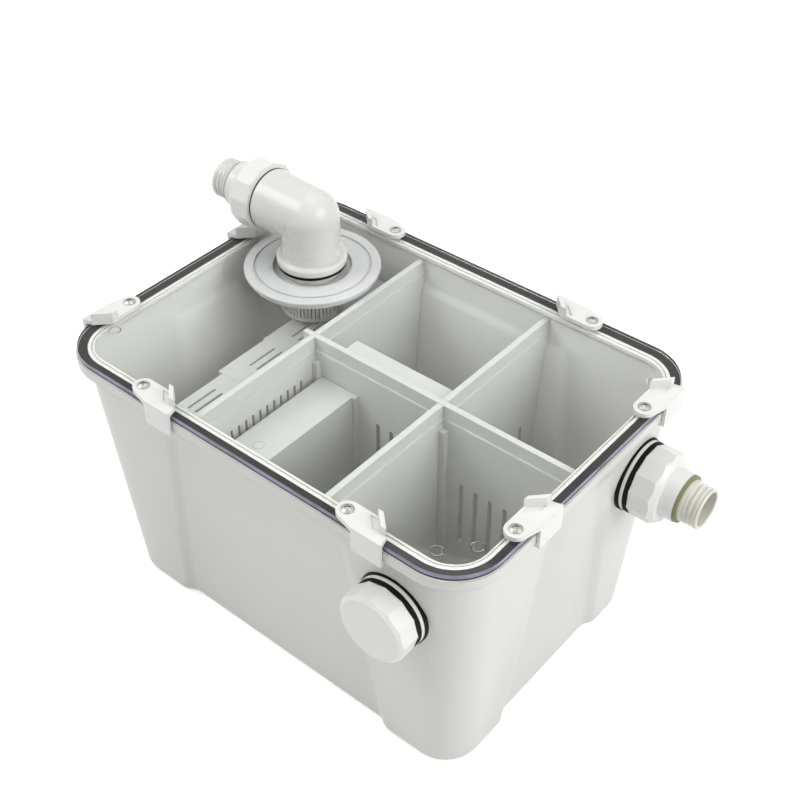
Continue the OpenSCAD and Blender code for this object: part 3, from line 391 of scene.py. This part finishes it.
rimSealRubber = rubber("rimSealRubber", rimSealLook)
blackRubber = rubber("blackRubber", blackSealLook)
mouthRubber = rubber("mouthRubber", mouthSealLook)
paleRubber = rubber("paleRubber", paleRingLook)
oliveRubber = rubber("oliveRubber", oliveRingLook)

# The clear lid: glass that lets the lamps through, with a violet tint where its cut edge is seen, and
# painted shade along the foot of that edge

lidLook = {
    "face": (0.955, 0.965, 0.960), "second": (0.945, 0.955, 0.955),
    "edge": (0.30, 0.29, 0.42), "edgeSecond": (0.14, 0.13, 0.17), "edgeShade": (0.02, 0.02, 0.022),
    "shadeHeight": 1.1,      # mm of the edge's foot darkened with painted shade, for the shadow under the lid's edge and the dark seal behind it
    "shadeFade": 0.5,        # mm over which that painted shade fades out
    "shadow": (0.92, 0.93, 0.92),    # what the lid lets through to its shadow
    "ior": 1.40, "roughness": 0.015,
    "sideLimit": 0.5,       # part of the normal that points up or down, under which a face is a side
    "wave": (14, 1), "waveBump": (0.02, 0.001),      # scale and detail, strength and metres
    "streak": (45, 3), "streakSpan": (0.45, 0.7),    # second colour along the cut edge
    "saw": (220, 4), "sawSpan": (0.3, 0.7), "sawRoughness": (0.25, 0.4), "sawBump": 0.15,
}


def makeLidClear():
    m, tree, shader = newMaterial("lidClear")
    geometry = tree.nodes.new("ShaderNodeNewGeometry")
    parts = tree.nodes.new("ShaderNodeSeparateXYZ")
    tree.links.new(geometry.outputs["True Normal"], parts.inputs[0])
    upright = mathNode(tree, "ABSOLUTE", parts.outputs["Z"])
    outside = mathNode(tree, "SUBTRACT", 1, geometry.outputs["Backfacing"])
    side = mathNode(tree, "LESS_THAN", upright, lidLook["sideLimit"])
    side = mathNode(tree, "MULTIPLY", side, outside)
    where = objectPlace(tree)
    wave = noiseNode(tree, where, *lidLook["wave"])
    face = colourMix(tree, wave, rgba(lidLook["face"]), rgba(lidLook["second"]))
    tree.links.new(face, shader.inputs["Base Color"])
    bumpFrom(tree, wave, shader, *lidLook["waveBump"])
    shader.inputs["Transmission Weight"].default_value = 1
    shader.inputs["Roughness"].default_value = lidLook["roughness"]
    shader.inputs["IOR"].default_value = lidLook["ior"]
    clear = tree.nodes.new("ShaderNodeBsdfTransparent")
    clear.inputs["Color"].default_value = rgba(lidLook["shadow"])
    path = tree.nodes.new("ShaderNodeLightPath")
    glass = mixShader(tree, path.outputs["Is Shadow Ray"], shader.outputs[0], clear.outputs[0])

    cut = tree.nodes.new("ShaderNodeBsdfPrincipled")    # the sawn side faces, seen from outside
    saw = noiseNode(tree, where, *lidLook["saw"])
    streak = rangeNode(tree, noiseNode(tree, where, *lidLook["streak"]), *lidLook["streakSpan"], 0, 1)
    place = tree.nodes.new("ShaderNodeSeparateXYZ")
    tree.links.new(where, place.inputs[0])
    # Painted shade: the cut edge goes near black towards its foot, for the shadow under the lid's edge
    # and the dark seal seen through it
    foot = min(v.co.z for v in nodes["lid"].data.vertices) + lidLook["shadeHeight"] * mm
    shade = rangeNode(tree, place.outputs["Z"], foot, foot + lidLook["shadeFade"] * mm, 1, 0)
    tint = colourMix(tree, streak, rgba(lidLook["edge"]), rgba(lidLook["edgeSecond"]))
    tree.links.new(colourMix(tree, shade, tint, rgba(lidLook["edgeShade"])), cut.inputs["Base Color"])
    sawRough = rangeNode(tree, saw, *lidLook["sawSpan"], *lidLook["sawRoughness"])
    tree.links.new(sawRough, cut.inputs["Roughness"])
    bumpFrom(tree, saw, cut, lidLook["sawBump"], skinDepth)
    whole = mixShader(tree, side, glass, cut.outputs[0])
    tree.links.new(whole, tree.nodes["Material Output"].inputs["Surface"])
    return m


lidClear = makeLidClear()

# Screws: turned stainless steel, slightly warm

screwLook = {
    "colour": (0.52, 0.52, 0.49), "second": (0.32, 0.32, 0.29), "colourSpan": (0.35, 0.65),
    "roughness": (0.26, 0.42), "roughSpan": (0.3, 0.7),
    "smear": (700, 4), "bump": (0.1, 0.0001),    # scale and detail, strength and metres
}


def makeScrewSteel():
    m, tree, shader = newMaterial("screwSteel")
    smear = noiseNode(tree, objectPlace(tree), *screwLook["smear"])
    share = rangeNode(tree, smear, *screwLook["colourSpan"], 0, 1)
    tint = colourMix(tree, share, rgba(screwLook["colour"]), rgba(screwLook["second"]))
    tree.links.new(tint, shader.inputs["Base Color"])
    rough = rangeNode(tree, smear, *screwLook["roughSpan"], *screwLook["roughness"])
    tree.links.new(rough, shader.inputs["Roughness"])
    bumpFrom(tree, smear, shader, *screwLook["bump"])
    shader.inputs["Metallic"].default_value = 1
    return m


screwSteel = makeScrewSteel()
print("stage: finishes")

# Which finish each CAD node wears

finishes = {
    "tub": tubPlastic, "rim_gasket": rimSealRubber, "lid": lidClear, "clip_screws": screwSteel,
    "divider_left": innerPlastic, "divider_long": innerPlastic, "divider_right": innerPlastic,
    "inlet_baffle": platePlastic, "mid_baffle": platePlastic, "shelf_front": platePlastic,
    "shelf_rear": platePlastic, "strainer_holder": strainerPlastic, "strainer_basket": shadedBasketPlastic,
    "inlet_elbow": elbowPlastic, "elbow_gasket": blackRubber, "elbow_lock_nut": nutPlastic,
    "inlet_seal": mouthRubber, "inlet_nut": nutPlastic, "inlet_end_ring": paleRubber,
    "inlet_tail": paleTailPlastic, "outlet_barrel": nutPlastic, "outlet_gasket": blackRubber,
    "outlet_washer": nutPlastic, "outlet_seal": blackRubber, "outlet_nut": nutPlastic,
    "outlet_end_ring": oliveRubber, "outlet_tail": tailPlastic, "plug_barrel": nutPlastic,
    "plug_gasket": blackRubber, "plug_washer": nutPlastic, "plug_seal": blackRubber,
    "plug_cap": nutPlastic,
}
for name in nodes:
    if name.startswith("clip_") and name != "clip_screws":
        finishes[name] = clipPlastic
for name, obj in nodes.items():
    obj.data.materials.clear()
    obj.data.materials.append(finishes[name])


shadeAngle, tubShadeAngle = 24, 40    # degrees past which an edge stays sharp
joinReach = 2e-6                      # metres, under any real detail


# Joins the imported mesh's faces for shading and keeps only its real edges sharp
def makeSoftShade(degrees):
    g = bpy.data.node_groups.new("softShade%d" % degrees, "GeometryNodeTree")
    socket(g, "Geometry", "Geometry", "INPUT")
    socket(g, "Geometry", "Geometry", "OUTPUT")
    inp, out = g.nodes.new("NodeGroupInput"), g.nodes.new("NodeGroupOutput")
    join = g.nodes.new("GeometryNodeMergeByDistance")
    join.inputs["Distance"].default_value = joinReach
    plain = g.nodes.new("GeometryNodeRemoveAttribute")
    plain.inputs["Name"].default_value = "custom_normal"
    faces = g.nodes.new("GeometryNodeSetShadeSmooth")
    faces.domain = "FACE"
    faces.inputs["Shade Smooth"].default_value = True
    bend = g.nodes.new("GeometryNodeInputMeshEdgeAngle")
    sharp = g.nodes.new("FunctionNodeCompare")
    sharp.operation = "GREATER_THAN"
    sharp.inputs["B"].default_value = math.radians(degrees)
    edges = g.nodes.new("GeometryNodeSetShadeSmooth")
    edges.domain = "EDGE"
    edges.inputs["Shade Smooth"].default_value = False
    link = g.links.new
    link(inp.outputs[0], join.inputs["Geometry"])
    link(join.outputs[0], plain.inputs["Geometry"])
    link(plain.outputs[0], faces.inputs["Geometry"])
    link(faces.outputs[0], edges.inputs["Geometry"])
    link(bend.outputs["Unsigned Angle"], sharp.inputs["A"])
    link(sharp.outputs[0], edges.inputs["Selection"])
    link(edges.outputs[0], out.inputs[0])
    return g


softShade, tubShade = makeSoftShade(shadeAngle), makeSoftShade(tubShadeAngle)
for name, obj in nodes.items():
    obj.modifiers.new("softShade", "NODES").node_group = tubShade if name == "tub" else softShade

# Mesh helpers


def addMesh(name, verts, faces, body, material):
    mesh = bpy.data.meshes.new(name)
    mesh.from_pydata([tuple(v) for v in verts], [], faces)
    bm = bmesh.new()
    bm.from_mesh(mesh)
    bmesh.ops.recalc_face_normals(bm, faces=bm.faces)
    bm.to_mesh(mesh)
    bm.free()
    for p in mesh.polygons:
        p.use_smooth = True
    mesh.materials.append(material)
    obj = bpy.data.objects.new(name, mesh)
    scene.collection.objects.link(obj)
    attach(obj, body)
    return obj


# Marks the edges between faces that meet at a steeper angle as sharp
def smoothByAngle(obj, degrees):
    bm = bmesh.new()
    bm.from_mesh(obj.data)
    for edge in bm.edges:
        edge.smooth = len(edge.link_faces) == 2 and edge.calc_face_angle(0) < math.radians(degrees)
    bm.to_mesh(obj.data)
    bm.free()


# Faces between rings of n points each, the last ring joined to the first, from the point at base on
def ringFaces(rings, n, base=0):
    faces = []
    for i in range(rings):
        j = (i + 1) % rings
        for k in range(n):
            m = (k + 1) % n
            faces.append((base + i * n + k, base + i * n + m, base + j * n + m, base + j * n + k))
    return faces


turnedSharp = 35    # degrees past which a turned piece's edge stays sharp


# Piece turned round an axis: stops are mm along and radius, and depthAt gives mm to take off there
def turnedPiece(name, origin, along, stops, steps, body, material, depthAt=None):
    across = Vector((0, 1, 0))
    third = along.cross(across)
    verts = []
    for z, r in stops:
        for k in range(steps):
            angle = 2 * math.pi * k / steps
            depth = depthAt(z, r, angle) if depthAt else 0
            out = (across * math.cos(angle) + third * math.sin(angle)) * ((r - depth) * mm)
            verts.append(origin + along * (z * mm) + out)
    piece = addMesh(name, verts, ringFaces(len(stops), steps), body, material)
    smoothByAngle(piece, turnedSharp)
    return piece


# Hose tails: the male thread, which the CAD leaves as a plain cylinder of the crest diameter

tailShape = {
    "crest": 17.5, "root": 16.1, "bore": 14.5, "flange": 19.7, "flangeLength": 3.0, "neckRadius": 17.2,
    "pitch": 4.4,           # mm from crest to crest
    "shown": 17.0,          # mm that stand out of the end ring
    "neck": 3.0,            # mm of plain shoulder before the thread
    "chamfer": 1.2, "boreChamfer": (0.5, 0.6),      # mm of radius and of length
    "runIn": 2.0, "runOut": 1.0,    # mm over which the thread starts and ends
    "grooveTop": 1.6, "grooveSlope": 4.2,    # line in turns from a groove's middle, cut off at 0 and 1
    "layer": 0.3,           # mm between the mesh's rings along the thread
    "steps": 96,
}


# Share of the thread's full depth at a place: a trapeze across each turn, run out at both ends
def threadGroove(z, angle, first, last):
    turn = ((z - first) / tailShape["pitch"] - angle / (2 * math.pi)) % 1.0
    groove = max(0.0, min(1.0, tailShape["grooveTop"] - tailShape["grooveSlope"] * abs(turn - 0.5)))
    startFade = max(0.0, min(1.0, (z - first) / tailShape["runIn"]))
    endFade = max(0.0, min(1.0, (last - z) / tailShape["runOut"]))
    return groove * startFade * endFade


def threadedTail(name, node, axis, body, finish):
    low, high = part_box(node)
    along = Vector(axis)
    length = abs((high - low).dot(along)) / mm
    origin = (low + high) / 2 - along * (length / 2 * mm)
    t = tailShape
    first = length - t["shown"] + t["neck"]
    last = length - t["chamfer"]
    shoulder = length - t["shown"]
    stops = [(0.0, t["flange"]), (t["flangeLength"], t["flange"]), (t["flangeLength"], t["neckRadius"]),
             (shoulder, t["neckRadius"]), (shoulder, t["crest"]), (first, t["crest"])]
    z = first
    while z < last:
        z = min(last, z + t["layer"])
        stops.append((z, t["crest"]))
    wider, deeper = t["boreChamfer"]
    stops += [(length, t["crest"] - t["chamfer"]), (length, t["bore"] + wider),
              (length - deeper, t["bore"]), (0.0, t["bore"])]

    def depthAt(z, r, angle):
        return (t["crest"] - t["root"]) * threadGroove(z, angle, first, last) if r == t["crest"] else 0

    piece = turnedPiece(name, origin, along, stops, t["steps"], body, finish, depthAt)
    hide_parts(node)


threadedTail("outletTailThreaded", "outlet_tail", (1, 0, 0), "trap", tailPlastic)
threadedTail("inletTailThreaded", "inlet_tail", (-1, 0, 0), "elbow", paleTailPlastic)
print("stage: tails")

# Thin skirts that lap over the elbow's two seals: one under the collar, one at the mouth

sealSkirts = {
    "steps": 96,    # and then mm along and radius, from the gasket's top and the seal's outer face
    "collar": [(2.0, 29.5), (2.0, 30.15), (-1.0, 30.15), (-1.4, 29.9), (-1.4, 29.5)],
    "mouth": [(-0.1, 26.6), (-0.1, 27.3), (1.1, 27.3), (1.4, 27.0), (1.4, 26.6)],
}

low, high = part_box("elbow_gasket")
middle = (low + high) / 2
turnedPiece("collarSkirt", Vector((middle.x, middle.y, high.z)), Vector((0, 0, 1)),
            sealSkirts["collar"], sealSkirts["steps"], "elbow", elbowPlastic)
low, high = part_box("inlet_seal")
middle = (low + high) / 2
turnedPiece("mouthSkirt", Vector((low.x, middle.y, middle.z)), Vector((1, 0, 0)),
            sealSkirts["mouth"], sealSkirts["steps"], "elbow", nutPlastic)
print("stage: skirts over the seals")

# Marks that the mould's ejector pins leave: low rings on the lid and on the inlet baffle's plate

ringMarks = {
    "radius": 4.6, "width": 0.5, "height": 0.12, "sunk": 0.05,    # mm
    "steps": 40,
    "lid": [(166.0, -130.9), (184.7, -110.7), (-181.4, -107.5), (184.0, 112.0), (-166.0, 131.0)],
    "baffle": [(-35.1, -97.8)],    # X and Y in mm
}


def makeRingMarks(name, centres, level, material):
    m = ringMarks
    profile = [(-m["width"], -m["sunk"]), (-m["width"] / 2, m["height"]),
               (m["width"] / 2, m["height"]), (m["width"], -m["sunk"])]
    verts, faces = [], []
    for x, y in centres:
        faces += ringFaces(len(profile), m["steps"], len(verts))
        for dr, dz in profile:
            for k in range(m["steps"]):
                angle = 2 * math.pi * k / m["steps"]
                r = (m["radius"] + dr) * mm
                across, away = r * math.cos(angle), r * math.sin(angle)
                verts.append((x * mm + across, y * mm + away, level + dz * mm))
    addMesh(name, verts, faces, "trap", material)


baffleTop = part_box("inlet_baffle")[1].z
makeRingMarks("lidPinMarks", ringMarks["lid"], lidTop, lidClear)
makeRingMarks("bafflePinMark", ringMarks["baffle"], baffleTop, platePlastic)
print("stage: pin marks")

# Floor, backdrop and lamps

stageLook = {
    "floor": 0.80, "roughness": 0.9,
    "lift": 0.50,                    # light that the seen floor adds near the object, 1 is plain white
    "near": 0.8, "far": 1.8,         # metres over which the seen floor grows to plain white
    "world": 0.45,                   # strength of the even light on the object
    "size": 12.0, "drop": 0.0002,    # metres
    "lampAim": 0.7,                  # share of the lid's height that the lamps point at
}


def makeStage():
    bpy.ops.mesh.primitive_plane_add(size=stageLook["size"], location=(0, 0, -stageLook["drop"]))
    floor = bpy.context.object
    floor.name = "floor"
    m, tree, shader = newMaterial("floorWhite")
    shader.inputs["Base Color"].default_value = rgba([stageLook["floor"]] * 3)
    shader.inputs["Roughness"].default_value = stageLook["roughness"]
    shader.inputs["Specular IOR Level"].default_value = 0.0
    shader.inputs["Emission Color"].default_value = (1, 1, 1, 1)
    away = tree.nodes.new("ShaderNodeVectorMath")
    away.operation = "LENGTH"
    tree.links.new(objectPlace(tree), away.inputs[0])
    near, far = stageLook["near"], stageLook["far"]
    lift = rangeNode(tree, away.outputs["Value"], near, far, stageLook["lift"], 1)
    glow = mathNode(tree, "MULTIPLY", seenRays(tree), lift)
    tree.links.new(glow, shader.inputs["Emission Strength"])
    floor.data.materials.append(m)
    floor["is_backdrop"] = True

    world = bpy.data.worlds.new("studio")
    scene.world = world
    world.use_nodes = True
    wt = world.node_tree
    wt.nodes.clear()
    out = wt.nodes.new("ShaderNodeOutputWorld")
    skies = []
    for strength in (stageLook["world"], 1):    # the light on the object, and the white that is seen
        sky = wt.nodes.new("ShaderNodeBackground")
        sky.inputs["Color"].default_value = (1, 1, 1, 1)
        sky.inputs["Strength"].default_value = strength
        skies.append(sky.outputs[0])
    wt.links.new(mixShader(wt, seenRays(wt), *skies), out.inputs["Surface"])


# Each lamp: where it stands (azimuth and elevation as for the camera), metres away, size and watts
lamps = {
    "rightBox": {"azimuth": 98, "elevation": 34, "distance": 2.2, "size": (1.5, 1.3), "power": 27.5},
    "leftBox": {"azimuth": -50, "elevation": 46, "distance": 2.4, "size": (1.2, 1.1), "power": 21},
    "topBox": {"azimuth": 200, "elevation": 75, "distance": 2.2, "size": (1.8, 1.8), "power": 10},
}


def makeLamps():
    target = Vector((0, 0, lidTop * stageLook["lampAim"]))
    for name, look in lamps.items():
        way = wayTo(look["azimuth"], look["elevation"])
        data = bpy.data.lights.new(name, "AREA")
        data.shape = "RECTANGLE"
        data.size, data.size_y = look["size"]
        data.energy = look["power"]
        lamp = bpy.data.objects.new(name, data)
        lamp.location = target + way * look["distance"]
        lamp.rotation_mode = "QUATERNION"
        lamp.rotation_quaternion = (-way).to_track_quat("-Z", "Y")
        scene.collection.objects.link(lamp)


makeStage()
makeLamps()
scene.view_settings.view_transform = "Standard"
print("stage: studio")

low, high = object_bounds()
